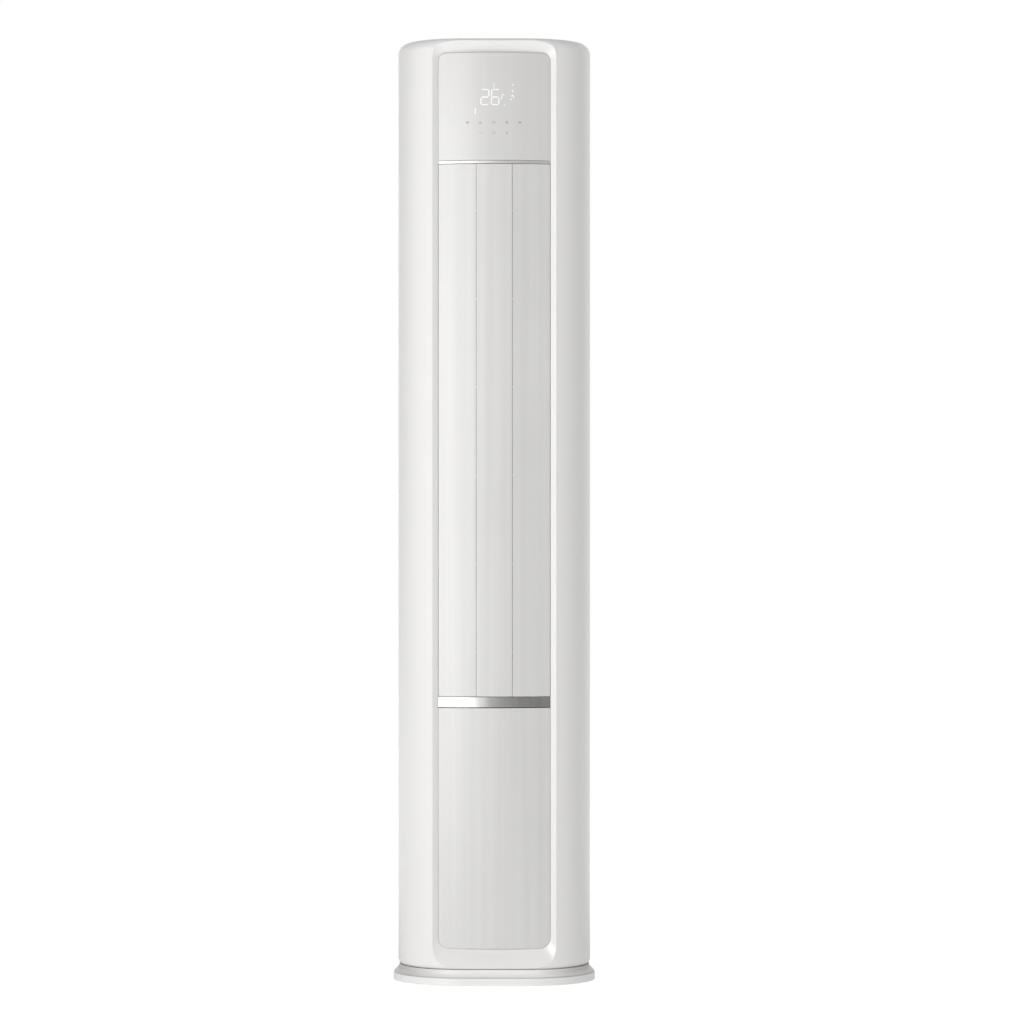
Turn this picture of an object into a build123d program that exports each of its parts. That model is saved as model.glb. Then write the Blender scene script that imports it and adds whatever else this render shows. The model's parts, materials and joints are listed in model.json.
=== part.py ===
from build123d import *
import math
import os

os.makedirs("parts", exist_ok=True)

# Millimetres. Z is up, the floor is z = 0, the front of the cabinet faces -Y.

# ---- cabinet shell ----
column_width = 360.0
column_depth = 380.0
column_low = 30.0
column_high = 1755.0
front_corner_r = 120.0
rear_corner_r = 70.0
top_edge_r = 20.0
low_edge_r = 10.0
low_lip = 12.0
shell_wall = 3.0
deck = 6.0
seam_y = -70.0
seam_gap = 0.4
fit_gap = 0.2
rim = 24.0
rim_ledge = 6.0

# ---- foot ----
lip_out = 9.0
side_draw = 7.5
draw_run = 88.0
draw_bend_r = 100.0
foot_low = 1.5
foot_high = 15.5
groove = 1.0
flare_r = 10.5
neck_inset = 2.2
rib_high = column_low + 12
rib_t = 3.0
floor_plate = 3.0
pad_r = 16.0
pad_inset = 62.0

# ---- recessed front ----
panel_half = column_width / 2 - 75.7
panel_low = column_low + 38
panel_high = column_high - 27
panel_low_r = 20.0
panel_high_r = 15.0
recess_depth = 19.5
bow = 14.0
side_slope = 1.65
top_slope = 1.73
low_slope = 2.2
mouth_low_r = 16.0
mouth_high_r = 32.0
mouth_run = 22.0
lip = 3.0
ledge = 3.0
ledge_reach = 6.3
panel_gap = 0.8
panel_skin = 3.0
panel_skirt = 2.0

# ---- air outlet ----
trim_high = panel_high - 200
outlet_high = trim_high - 6.4
outlet_low = 535.0
band_low = outlet_low - 21
band_skin = 1.8
joint_gap = 0.6
plate = 4.0
low_plate_z = outlet_low - 6
high_plate_z = outlet_high + 1.4

# ---- swing vanes ----
seam_half = 33.5
vane_gap = 1.2
vane_end_gap = 0.8
vane_edge = 3.5
vane_middle = 12.0
pivot_depth = 6.5
pivot_r = 2.0
run_gap = 0.08
crank_reach = 18.0
crank_hub_r = 3.8
crank_t = 4.0
crank_angle = 45.0
pin_r = 1.5
link_t = 4.0
link_half = 3.5
vane_motor_back = 24.5
motor_crank_t = 3.0

# ---- air duct and fan ----
duct_wall = 2.5
duct_gap = 0.2
straight_run = 22.0
fan_back = 165.0
fan_r = 55.0
blade_root_r = 41.0
blade_t = 1.4
blade_run = 13.5
blade_sweep = 6.0
blade_count = 24
section_count = 4
disc_t = 3.0
fan_end_gap = 10.0
guide_start = 50.0
guide_end = 15.0
guide_start_r = 60.0
guide_end_r = 68.0
tongue_angle = 202.0
tongue_r = 60.0
flap_gap = 6.0
shaft_r = 6.0
stub_r = 5.0

# ---- deflectors ----
deflector_count = 6
deflector_back = 52.5
deflector_chord = 36.0
deflector_t = 3.2
deflector_edge = 1.0
deflector_pin_r = 2.5
lug_reach = 14.0
slot_half = 6.0
bar_half = 2.0
bar_width = 6.0

# ---- cooling coil and drain pan ----
coil_half = column_width / 2 - 36
coil_t = 26.0
coil_depth = 110.0
coil_back = 60.0
coil_corner_r = 46.0
coil_high = high_plate_z + plate + 3
end_plate_t = 1.5
bend_r = 4.0
bend_span = 25.0
bend_rise = 12.0
pan_wall = 2.5
pan_rib = 6.0
pan_margin = 8.0
pan_high = low_plate_z - 5

# ---- chassis ----
shelf_high = low_plate_z - 44
sheet = 2.0
upright_back = 130.0
upright_width = 40.0
upright_leg = 11.0
upright_high = column_high - 22
bridge_low = coil_high + end_plate_t

# ---- rear intake ----
window_half = column_width / 2 - 85
window_low = band_low - 14
window_high = column_high - 115
cassette_gap = 0.8
grille_t = 4.0
filter_t = 3.0
rebate_wall = 3.0
slot_pitch = 14.0
slot_height = 7.0
grille_margin = 30.0

# ---- pipe window and unions ----
pipe_x = 20.0
pipe_z = 150.0
pipe_window_width = 170.0
pipe_window_height = 110.0
gas_r = 8.0
liquid_r = 4.8
gas_thread_r = 11.1
liquid_thread_r = 7.9
drain_r = 8.0

# ---- electrical ----
box_x = -30.0
box_width = 150.0
box_depth = 62.0
box_high = 221.0
box_back = 70.0
box_wall = 2.0

front_y = -column_depth / 2
rear_y = column_depth / 2
half_width = column_width / 2
draw_start_y = front_y + front_corner_r + 6
draw_end_y = draw_start_y + draw_run
recess_y = front_y + recess_depth
ledge_y = recess_y + lip
collar_back_y = ledge_y + ledge
bow_r = (panel_half**2 + bow**2) / (2 * bow)
bow_y = recess_y - bow + bow_r
inner_half = panel_half - panel_gap
skin_front_y = front_y - 10
duct_half = panel_half + duct_gap
duct_front_y = collar_back_y + duct_gap
duct_low = low_plate_z + plate
duct_high = high_plate_z
shell_in_y = rear_y - shell_wall
deflector_y = collar_back_y + deflector_back
straight_end_y = deflector_y + straight_run
vane_motor_y = recess_y + vane_motor_back
fan_y = rear_y - fan_back
coil_back_y = rear_y - coil_back
coil_front_y = coil_back_y - coil_depth
flap_y = coil_front_y - flap_gap
upright_y = rear_y - upright_back
box_front_y = front_y + box_back
box_low = shelf_high - sheet - box_high
window_middle = (window_low + window_high) / 2


def save(shape, name):
    export_step(shape, f"parts/{name}.step")


def slab(sketch, z0, z1):
    return extrude(Pos(0, 0, z0) * sketch, z1 - z0)


def block(x0, x1, y0, y1, z0, z1):
    return Pos((x0 + x1) / 2, (y0 + y1) / 2, (z0 + z1) / 2) * Box(x1 - x0, y1 - y0, z1 - z0)


def rod(x, y, z0, z1, r):
    return Pos(x, y, (z0 + z1) / 2) * Cylinder(r, z1 - z0)


def rod_x(x0, x1, y, z, r):
    return Pos((x0 + x1) / 2, y, z) * Rot(0, 90, 0) * Cylinder(r, x1 - x0)


def rod_y(x, y0, y1, z, r):
    return Pos(x, (y0 + y1) / 2, z) * Rot(90, 0, 0) * Cylinder(r, y1 - y0)


# The plan of the column: a rectangle with large front corners and smaller rear ones.
def plan(inset):
    outline = Rectangle(column_width - 2 * inset, column_depth - 2 * inset)
    by_y = outline.vertices().sort_by(Axis.Y)
    outline = fillet(by_y[:2], front_corner_r - inset)
    return fillet(outline.vertices().sort_by(Axis.Y)[-2:], rear_corner_r - inset)


# A rounded rectangle that faces the front, standing at depth y.
def front_face(half, z0, z1, low_r, high_r, y):
    outline = Rectangle(2 * half, z1 - z0)
    if low_r > 0:
        outline = fillet(outline.vertices().sort_by(Axis.Y)[:2], low_r)
    if high_r > 0:
        outline = fillet(outline.vertices().sort_by(Axis.Y)[-2:], high_r)
    return Plane.XZ.offset(-y) * Pos(0, (z0 + z1) / 2) * outline


def front_block(half, z0, z1, low_r, high_r, y_back, y_front):
    return extrude(front_face(half, z0, z1, low_r, high_r, y_back), y_back - y_front)


# The bowed front that the window, the vanes, the band and the lower panel share.
def bow_cylinder(depth, z0, z1):
    return rod(0, bow_y, z0, z1, bow_r - depth)


def bow_point(depth, angle):
    a = math.radians(angle)
    return ((bow_r - depth) * math.sin(a), bow_y - (bow_r - depth) * math.cos(a))


# A bowed front skin with skirts that stand on the frame's ledge.
def bowed_tray(z0, z1, low_r, high_r):
    outer = front_block(inner_half, z0, z1, low_r, high_r, ledge_y, skin_front_y)
    outer &= bow_cylinder(0, z0, z1)
    inner = front_block(
        inner_half - panel_skirt,
        z0 + panel_skirt,
        z1 - panel_skirt,
        max(low_r - panel_skirt, 0),
        max(high_r - panel_skirt, 0),
        ledge_y + 1,
        skin_front_y,
    )
    return outer - (inner & bow_cylinder(panel_skin, z0, z1))


# A bent wall in plan: straight strips with round ends and joints.
def strip_wall(points, t):
    wall = Sketch()
    for a, b in zip(points, points[1:]):
        wall += SlotCenterToCenter(math.dist(a, b), t).locate(
            Location(((a[0] + b[0]) / 2, (a[1] + b[1]) / 2, 0), (0, 0, strip_angle(a, b)))
        )
    return wall


def strip_angle(a, b):
    return math.degrees(math.atan2(b[1] - a[1], b[0] - a[0]))


def tube(points, radii, r, bore):
    path = FilletPolyline(*points, radius=radii)
    start = Plane(origin=path @ 0, z_dir=path % 0)
    outer = sweep(start * Circle(r), path=path)
    return outer - sweep(start * Circle(bore), path=path) if bore > 0 else outer


# ======== foot ========
# The foot follows the column's plan but draws in along the sides, behind the front corners.
def foot_plan(inset):
    half = half_width - inset
    rear_half = half - side_draw
    right = [
        (half, front_y + inset), (half, draw_start_y), (rear_half, draw_end_y), (rear_half, rear_y - inset),
    ]
    left = [(-x, y) for x, y in reversed(right)]
    outline = make_face(Polyline(*right, *left, close=True))
    bends = outline.vertices().sort_by(Axis.Y)[2:6]
    outline = fillet(bends, draw_bend_r)
    outline = fillet(outline.vertices().sort_by(Axis.Y)[:2], front_corner_r - inset)
    return fillet(outline.vertices().sort_by(Axis.Y)[-2:], rear_corner_r - side_draw - inset)


def make_foot():
    out = slab(foot_plan(-lip_out), foot_low, foot_high)
    out = fillet(out.edges().group_by(Axis.Z)[-1], 2.0)
    hollow = slab(foot_plan(-lip_out + 8), 0, foot_high - 5)
    ribs = block(-half_width, half_width, -3, 3, foot_low, foot_high - 5)
    ribs += block(-3, 3, front_y, rear_y, foot_low, foot_high - 5)
    for x in (-1, 1):
        for y in (-1, 1):
            place = Pos(x * (half_width - pad_inset), y * (rear_y - pad_inset), 0)
            ribs += place * rod(0, 0, foot_low, foot_high - 5, pad_r + 3)
    out -= hollow
    out += ribs & hollow
    for pad in pad_places():
        out -= pad * rod(0, 0, 0, 5, pad_r)
    return out


def pad_places():
    return [
        Pos(x * (half_width - pad_inset), y * (rear_y - pad_inset), 0)
        for x in (-1, 1)
        for y in (-1, 1)
    ]


# The plinth flares in to a neck that the shell stands on; a rib locates the shell's lower lip.
def make_plinth():
    low = foot_high + groove
    high = low + flare_r
    body = slab(foot_plan(-lip_out + 1), low, high)
    path = foot_plan(-lip_out + 1).wires()[0].moved(Location((0, 0, high)))
    start = Plane(origin=path @ 0, z_dir=path % 0)
    body -= sweep(start * Circle(flare_r), path=path)
    body += slab(plan(neck_inset), low, neck_high)
    rib = slab(plan(rib_inset), neck_high - 1, rib_high)
    body += rib & block(-half_width, half_width, collar_back_y + 14, rear_y, 0, rib_high)
    body -= slab(plan(rib_inset + rib_t), floor_z, rib_high + 1)
    body += slab(foot_plan(-lip_out + 4), foot_high, low)
    return body


neck_high = column_low - fit_gap
rib_inset = low_lip + fit_gap
floor_z = foot_high + groove + flare_r + floor_plate
upright_face = half_width - rib_inset - rib_t - fit_gap
save(make_foot(), "base_foot")
save(make_plinth(), "base_plinth")
save(Compound(children=[p * rod(0, 0, 0, 5, pad_r - fit_gap) for p in pad_places()]), "rubber_feet")


# ======== cabinet shell: one form, split at the side seams ========
def make_shell():
    outer = slab(plan(0), column_low, column_high)
    outer = fillet(outer.edges().group_by(Axis.Z)[-1], top_edge_r)
    outer = fillet(outer.edges().group_by(Axis.Z)[0], low_edge_r)
    inner = slab(plan(shell_wall), column_low + shell_wall, column_high - deck)
    inner = fillet(inner.edges().group_by(Axis.Z)[-1], top_edge_r - deck)
    inner = fillet(inner.edges().group_by(Axis.Z)[0], low_edge_r - shell_wall)
    shell = outer - inner - slab(plan(low_lip), column_low - 1, column_low + shell_wall + 1)
    shell -= slab(plan(rim + rim_ledge), column_high - deck - 1, column_high + 1)
    shell -= slab(plan(rim), column_high - deck / 2, column_high + 1)
    return shell, outer


# The recess widens from the panels' outline to the front of the pillars.
def recess(grow, y_back):
    mouth_y = recess_y - mouth_run
    back = front_face(
        panel_half + grow, panel_low - grow, panel_high + grow,
        panel_low_r + grow, panel_high_r + grow, y_back,
    )
    mouth = front_face(
        panel_half + grow + side_slope * mouth_run,
        panel_low - grow - low_slope * mouth_run,
        panel_high + grow + top_slope * mouth_run,
        mouth_low_r + grow, mouth_high_r + grow, mouth_y,
    )
    return loft([back, mouth], ruled=True)


def make_front_frame(shell, outer):
    frame = shell + (recess(lip, collar_back_y) & outer)
    frame -= recess(0, recess_y)
    frame -= front_block(
        panel_half, panel_low, panel_high, panel_low_r, panel_high_r, ledge_y, recess_y - 1
    )
    seat = panel_half - ledge_reach
    frame -= block(-panel_half, panel_half, ledge_y - 1, 0, band_low, trim_high)
    frame -= block(-seat, seat, ledge_y - 1, 0, trim_high + ledge_reach, panel_high - ledge_reach)
    frame -= block(-seat, seat, ledge_y - 1, 0, panel_low + ledge_reach, band_low - ledge_reach)
    return frame & block(-half_width, half_width, front_y, seam_y - seam_gap / 2, 0, column_high)


def make_rear_shell(shell):
    rear = shell & block(-half_width, half_width, seam_y + seam_gap / 2, rear_y, 0, column_high)
    seat_half = window_half + rebate_wall
    seat_back = rear_y - grille_t - filter_t - cassette_gap / 4
    rear += block(
        -seat_half, seat_half, seat_back - rebate_wall, shell_in_y,
        window_low - rebate_wall, window_high + rebate_wall,
    )
    rear -= block(-window_half, window_half, seat_back, rear_y + 1, window_low, window_high)
    hole = window_half - 2 * rebate_wall
    for z0, z1 in ((window_low, window_middle), (window_middle, window_high)):
        rear -= block(
            -hole, hole, seat_back - 2 * rebate_wall, rear_y,
            z0 + 2 * rebate_wall, z1 - 2 * rebate_wall,
        )
    window = Pos(pipe_x, 0, pipe_z) * front_block(
        pipe_window_width / 2, -pipe_window_height / 2, pipe_window_height / 2, 12, 12,
        rear_y + 1, shell_in_y - 1,
    )
    rear -= window
    rear -= rod_y(gland_x, shell_in_y - 1, rear_y + 1, gland_z, gland_r)
    for x, z in screw_places:
        rear -= rod_y(x, shell_in_y - 1, rear_y + 1, z, screw_hole_r)
    for x in bracket_screw_x:
        rear -= rod_y(x, shell_in_y - 1, rear_y + 1, bracket_screw_z, screw_hole_r)
    return rear


gland_x = rear_corner_r + 7 - half_width
gland_z = pipe_z - 25
gland_r = 9.0
screw_r = 2.0
screw_hole_r = 2.2
screw_x = window_half + 10
screw_low_z = column_low + 36
screw_window_z = window_low - 20
screw_zs = (
    screw_low_z, (screw_low_z + screw_window_z) / 2, screw_window_z, window_middle, window_high + 25
)
screw_places = [(side * screw_x, z) for side in (-1, 1) for z in screw_zs]
bracket_screw_x = (-30.0, 30.0)
bracket_screw_z = window_high + 35

shell, outer = make_shell()
save(make_front_frame(shell, outer), "front_frame")
save(make_rear_shell(shell), "rear_shell")


def make_top_cover():
    cover = slab(plan(rim + fit_gap), column_high - deck / 2, column_high)
    cover = chamfer(cover.edges().group_by(Axis.Z)[-1], 1.0)
    return cover + slab(plan(rim + rim_ledge + fit_gap), column_high - deck, column_high - deck / 2)


save(make_top_cover(), "top_cover")


# ======== front skins ========
def bowed_strip(z0, z1, depth):
    strip = front_block(inner_half, z0, z1, 0, 0, recess_y + 6, skin_front_y)
    return (strip & bow_cylinder(0, z0, z1)) - bow_cylinder(depth, z0 - 1, z1 + 1)


save(bowed_tray(trim_high + joint_gap / 2, panel_high - panel_gap, 0, panel_high_r), "display_window")
save(bowed_strip(outlet_high + joint_gap, trim_high - joint_gap / 2, band_skin), "trim_strip")
save(bowed_strip(band_low + joint_gap, outlet_low - joint_gap, band_skin), "chrome_band")
save(bowed_tray(panel_low + panel_gap, band_low, panel_low_r, 0), "lower_panel")

# ======== air duct: end plates, rear guide and tongue wall ========
duct_out = duct_half + duct_wall
plate_back_y = fan_y + guide_start_r + 13


def vane_angles(side):
    seam = math.degrees(math.asin(seam_half / bow_r))
    edge = math.degrees(math.asin(inner_half / bow_r))
    half_gap = math.degrees(vane_gap / 2 / bow_r)
    if side == 0:
        return -seam + half_gap, seam - half_gap
    low, high = seam + half_gap, edge
    return (low, high) if side > 0 else (-high, -low)


def vane_pivot(side):
    low, high = vane_angles(side)
    return bow_point(pivot_depth, (low + high) / 2)


def duct_plate(z):
    nose = front_block(inner_half, z, z + plate, 0, 0, duct_front_y, skin_front_y)
    body = nose & bow_cylinder(band_skin + fit_gap / 2, z, z + plate)
    body += block(-duct_out, duct_out, duct_front_y, flap_y + duct_wall, z, z + plate)
    body += block(-fan_plate_half, fan_plate_half, 0, plate_back_y, z, z + plate)
    for side in (-1, 0, 1):
        x, y = vane_pivot(side)
        body -= rod(x, y, z - 1, z + plate + 1, pivot_r + run_gap)
    return body


fan_plate_half = coil_half - coil_t - 8
post_x = duct_half - 10
post_y = deflector_y + 52
motor_post_x = 21.0
motor_flange_z = low_plate_z - 20


def make_low_plate():
    body = duct_plate(low_plate_z)
    for x in (-post_x, post_x):
        body += rod(x, post_y, shelf_high, low_plate_z, 5)
    for x in (-motor_post_x, motor_post_x):
        body += rod(x, vane_motor_y, motor_flange_z, low_plate_z, 3)
    return body - rod(0, fan_y, low_plate_z - 1, duct_low + 1, bearing_r)


def make_high_plate():
    body = duct_plate(high_plate_z)
    for x, y in ((-post_x, 0), (post_x, 0), (-post_x, plate_back_y - 10), (post_x, plate_back_y - 10)):
        body += rod(x, y, high_plate_z, bridge_low, 5)
    return body - rod(0, fan_y, high_plate_z - 1, high_plate_z + plate + 1, shaft_r + 4)


bearing_r = 14.0
save(make_low_plate(), "duct_low_plate")
save(make_high_plate(), "duct_high_plate")


def polar(r, angle):
    a = math.radians(angle)
    return (r * math.cos(a), fan_y + r * math.sin(a))


def deflector_z(i):
    pitch = (duct_high - duct_low) / deflector_count
    return duct_low + pitch * (i + 0.5)


def pin_holes(wall, x0, x1):
    for i in range(deflector_count):
        wall -= rod_x(x0, x1, deflector_y, deflector_z(i), deflector_pin_r + run_gap)
    return wall


def make_rear_guide():
    middle = (guide_start + guide_end) / 2
    middle_r = (guide_start_r + guide_end_r) / 2
    t = duct_wall
    inner = ThreePointArc(
        polar(guide_start_r, guide_start), polar(middle_r, middle), polar(guide_end_r, guide_end)
    )
    outer_arc = ThreePointArc(
        polar(guide_end_r + t, guide_end), polar(middle_r + t, middle), polar(guide_start_r + t, guide_start)
    )
    scroll = make_face([inner, Line(inner @ 1, outer_arc @ 0), outer_arc, Line(outer_arc @ 1, inner @ 0)])
    x = duct_half + t / 2
    throat = polar(guide_end_r + t / 2, guide_end)
    bend = (x, straight_end_y)
    share = (flap_y - throat[1]) / (bend[1] - throat[1])
    flap = (throat[0] + share * (bend[0] - throat[0]), flap_y)
    walls = strip_wall([throat, bend, (x, duct_front_y + t / 2)], t)
    walls += strip_wall([flap, (coil_half - coil_t - t, flap_y)], t)
    solid = slab(scroll + walls, duct_low, duct_high)
    return pin_holes(solid, duct_half - 1, duct_out + 1)


def make_tongue_wall():
    t = duct_wall
    x = -duct_half - t / 2
    tip = polar(tongue_r + t / 2, tongue_angle)
    walls = strip_wall([(x, duct_front_y + t / 2), (x, straight_end_y), tip], t)
    walls += strip_wall([tip, (-(coil_half - coil_t - t), flap_y)], t)
    return pin_holes(slab(walls, duct_low, duct_high), -duct_out - 1, -duct_half + 1)


save(make_rear_guide(), "rear_guide")
save(make_tongue_wall(), "tongue_wall")

# ======== swing vanes and their linkage ========
crank_high = low_plate_z - 2
crank_low = crank_high - crank_t
link_high = crank_low - 2
link_low = link_high - link_t
motor_crank_high = link_low - 2
motor_crank_low = motor_crank_high - motor_crank_t
crank_dx = crank_reach * math.cos(math.radians(crank_angle))
crank_dy = crank_reach * math.sin(math.radians(crank_angle))


def make_vane(side):
    low, high = vane_angles(side)
    middle = (low + high) / 2
    front = ThreePointArc(bow_point(0, low), bow_point(0, middle), bow_point(0, high))
    back = ThreePointArc(
        bow_point(vane_edge, high), bow_point(vane_middle, middle), bow_point(vane_edge, low)
    )
    section = make_face([front, Line(front @ 1, back @ 0), back, Line(back @ 1, front @ 0)])
    blade = slab(section, outlet_low + vane_end_gap, outlet_high - vane_end_gap)
    x, y = vane_pivot(side)
    return blade + rod(x, y, crank_low, high_plate_z + plate, pivot_r)


def crank_arm(x, y, z0, z1, bore):
    arm = SlotCenterToCenter(crank_reach, 2 * crank_hub_r).locate(
        Location((x + crank_dx / 2, y + crank_dy / 2, 0), (0, 0, crank_angle))
    )
    return slab(arm, z0, z1) - rod(x, y, z0 - 1, z1 + 1, bore)


def make_vane_crank(side):
    x, y = vane_pivot(side)
    arm = crank_arm(x, y, crank_low, crank_high, pivot_r + run_gap / 2)
    return arm + rod(x + crank_dx, y + crank_dy, link_low - 0.5, crank_low, pin_r)


def make_motor_crank():
    arm = crank_arm(0, vane_motor_y, motor_crank_low, motor_crank_high, stub_half - 1)
    arm += rod(0, vane_motor_y, motor_shaft_low + 0.3, motor_crank_high, stub_half)
    return arm + rod(crank_dx, vane_motor_y + crank_dy, motor_crank_high, link_high + 0.5, pin_r)


def link_points():
    pivots = [vane_pivot(s) for s in (-1, 0, 1)]
    return [(x + crank_dx, y + crank_dy) for x, y in pivots]


def make_vane_link():
    points = link_points()
    tail = (crank_dx, vane_motor_y + crank_dy)
    bar = strip_wall(points, 2 * link_half) + strip_wall([points[1], tail], 2 * link_half)
    solid = slab(bar, link_low, link_high)
    for x, y in points + [tail]:
        solid -= rod(x, y, link_low - 1, link_high + 1, pin_r + link_clearance)
    return solid


stub_half = 2.5
link_clearance = 0.15
motor_shaft_low = motor_flange_z - 6
for side, name in ((-1, "left"), (0, "center"), (1, "right")):
    save(make_vane(side), f"vane_{name}")
    save(make_vane_crank(side), f"vane_crank_{name}")
save(make_vane_link(), "vane_link_bar")
save(make_motor_crank(), "vane_motor_crank")


# A small stepper motor standing along Z, with an offset shaft and two ears.
def stepper(shaft_x, shaft_y, flange_z, shaft_z):
    body = rod(shaft_x, shaft_y + 8, flange_z - 19, flange_z, 14)
    ears = SlotCenterToCenter(2 * motor_post_x, 8).locate(Location((shaft_x, shaft_y, 0)))
    body += slab(ears, flange_z - 1.5, flange_z)
    body += rod(shaft_x, shaft_y, flange_z, flange_z + 1, 4.5)
    return body - rod(shaft_x, shaft_y, shaft_z, flange_z + 2, stub_half + run_gap)


vane_motor = stepper(0, vane_motor_y, motor_flange_z, motor_shaft_low)


# ======== deflectors ========
def make_deflector(i):
    z = deflector_z(i)
    half = duct_half - 1.2
    front = deflector_y - deflector_chord / 2
    back = deflector_y + deflector_chord / 2
    edge = deflector_edge / 2
    top = ThreePointArc((front, edge), (deflector_y, deflector_t / 2), (back, edge))
    under = ThreePointArc((back, -edge), (deflector_y, -deflector_t / 2), (front, -edge))
    profile = make_face([top, Line(top @ 1, under @ 0), under, Line(under @ 1, top @ 0)])
    blade = Pos(-half, 0, z) * extrude(Plane.YZ * profile, 2 * half)
    lug_y = deflector_y + lug_reach
    blade -= block(-slot_half, slot_half, lug_y - bar_width, back + 1, z - 5, z + 5)
    blade += rod_x(-slot_half - 0.5, slot_half + 0.5, lug_y, z, pin_r)
    blade += rod_x(-duct_out, -half + 6, deflector_y, z, deflector_pin_r)
    end = duct_out if i != drive_deflector else duct_out + drive_reach
    return blade + rod_x(half - 6, end, deflector_y, z, deflector_pin_r)


def make_deflector_bar():
    y = deflector_y + lug_reach
    low = deflector_z(0) - bar_width
    high = deflector_z(deflector_count - 1) + bar_width
    bar = block(-bar_half, bar_half, y - bar_width / 2, y + bar_width / 2, low, high)
    for i in range(deflector_count):
        z = deflector_z(i)
        bar -= rod_x(-5, 5, y, z, pin_r + link_clearance)
        bar -= block(-5, 5, y, y + bar_width, z - pin_r * 0.8, z + pin_r * 0.8)
    return bar


drive_deflector = 3
drive_reach = 8.0
for i in range(deflector_count):
    save(make_deflector(i), f"deflector_{i + 1}")
save(make_deflector_bar(), "deflector_link_bar")


def make_deflector_motor():
    z = deflector_z(drive_deflector)
    face = duct_out + 1
    body = rod_x(face, face + 19, deflector_y + 8, z, 14)
    body += block(face, face + 1.5, deflector_y - 4, deflector_y + 4, z - 22, z + 22)
    for s in (-1, 1):
        body += rod_x(duct_out, face, deflector_y, z + s * 18, 3)
    bore = deflector_pin_r + run_gap
    return body - rod_x(face - 1, duct_out + drive_reach + 0.3, deflector_y, z, bore)


save(Compound(children=[vane_motor, make_deflector_motor()]), "stepper_motors")

# ======== cross-flow fan ========
fan_low = duct_low + fan_end_gap
fan_high = duct_high - fan_end_gap


# One forward-bent blade in plan: a strip of even thickness from the root to the tip circle.
def blade_face():
    spine = [
        (blade_root_r, 0),
        (blade_root_r + blade_run / 2, blade_sweep / 5),
        (blade_root_r + blade_run, blade_sweep),
    ]
    shift = blade_t / 2
    under = [(x, y - shift) for x, y in spine]
    over = [(x, y + shift) for x, y in reversed(spine)]
    return make_face(Polyline(*under, *over, close=True))


def make_rotor():
    blades = [Rot(0, 0, 360 / blade_count * i) * blade_face() for i in range(blade_count)]
    step = (fan_high - fan_low - disc_t) / section_count
    ring = Circle(fan_r) - Circle(blade_root_r - 4)
    parts = []
    for i in range(section_count + 1):
        disc = Circle(fan_r) if i in (0, section_count) else ring
        parts.append(slab(disc, fan_low + step * i, fan_low + step * i + disc_t))
    for i in range(section_count):
        for b in blades:
            parts.append(slab(b, fan_low + step * i + disc_t, fan_low + step * (i + 1)))
    rotor = parts[0].fuse(*parts[1:])
    rotor += rod(0, 0, fan_high - 26, fan_high - disc_t, 14)
    rotor += rod(0, 0, fan_low + disc_t, fan_low + 20, 11)
    rotor -= rod(0, 0, fan_high - 22, fan_high + 1, shaft_r + run_gap / 2)
    rotor -= rod(0, 0, fan_low - 1, fan_low + 16, stub_r + run_gap / 2)
    return Pos(0, fan_y, 0) * rotor


save(make_rotor(), "fan_rotor")
motor_low = bridge_low + sheet + 8
motor_height = 62.0
motor_r = 46.0
motor_edge = 6.0
bearing_low = low_plate_z - 4
motor_shaft = rod(0, fan_y, fan_high - 21.5, motor_low + motor_height - 8, shaft_r)
stub_shaft = rod(0, fan_y, bearing_low + 3.3, fan_low + 15.5, stub_r)
save(Compound(children=[motor_shaft, stub_shaft]), "fan_shafts")


def make_bearing():
    body = rod(0, fan_y, bearing_low, duct_low + 3, bearing_r - fit_gap)
    body += rod(0, fan_y, duct_low, duct_low + 3, bearing_r + 4)
    return body - rod(0, fan_y, bearing_low + 3, duct_low + 4, stub_r + run_gap)


def make_motor():
    body = rod(0, fan_y, motor_low, motor_low + motor_height, motor_r)
    body = chamfer(body.edges().filter_by(GeomType.CIRCLE), motor_edge)
    body += rod(0, fan_y, motor_low - 4, motor_low + 1, 12)
    return body - rod(0, fan_y, motor_low - 5, motor_low + motor_height - 7.5, shaft_r + run_gap)


def make_motor_bracket():
    z0 = bridge_low + sheet
    z1 = motor_low + 30
    cup = rod(0, fan_y, z0, z1, motor_r + fit_gap + 3) - rod(0, fan_y, motor_low, z1 + 1, motor_r + fit_gap)
    cup -= rod(0, fan_y, z0 - 1, motor_low + 1, 16)
    for turn in (0, 90):
        cut = block(-12, 12, -motor_r - 8, motor_r + 8, motor_low, motor_low + 18)
        cup -= Pos(0, fan_y, 0) * Rot(0, 0, turn) * cut
    for x in (-1, 1):
        cup += block(x * (motor_r + 14) - 14, x * (motor_r + 14) + 14, fan_y - 12, fan_y + 12, z0, z0 + 3)
    return cup - rod(0, fan_y, z0 + 3, z1 + 1, motor_r + fit_gap) + (
        rod(0, fan_y, z0, motor_low, motor_r) - rod(0, fan_y, z0 - 1, motor_low + 1, 16)
    )


save(make_bearing(), "fan_bearing")
save(make_motor(), "fan_motor")
save(make_motor_bracket(), "motor_bracket")

# ======== cooling coil ========
pan_low = shelf_high
coil_low = pan_low + pan_wall + pan_rib


def coil_plan(grow):
    out = Rectangle(2 * (coil_half + grow), coil_back_y - coil_front_y + 2 * grow)
    out = fillet(out.vertices().sort_by(Axis.Y)[-2:], coil_corner_r + grow)
    out = Pos(0, (coil_front_y + coil_back_y) / 2) * out
    depth = coil_back_y - coil_front_y - coil_t + grow
    hole = Rectangle(2 * (coil_half - coil_t - grow), depth + 20)
    hole = fillet(hole.vertices().sort_by(Axis.Y)[-2:], coil_corner_r - coil_t - grow)
    return out - Pos(0, coil_back_y - coil_t - grow - (depth + 20) / 2) * hole


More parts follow.
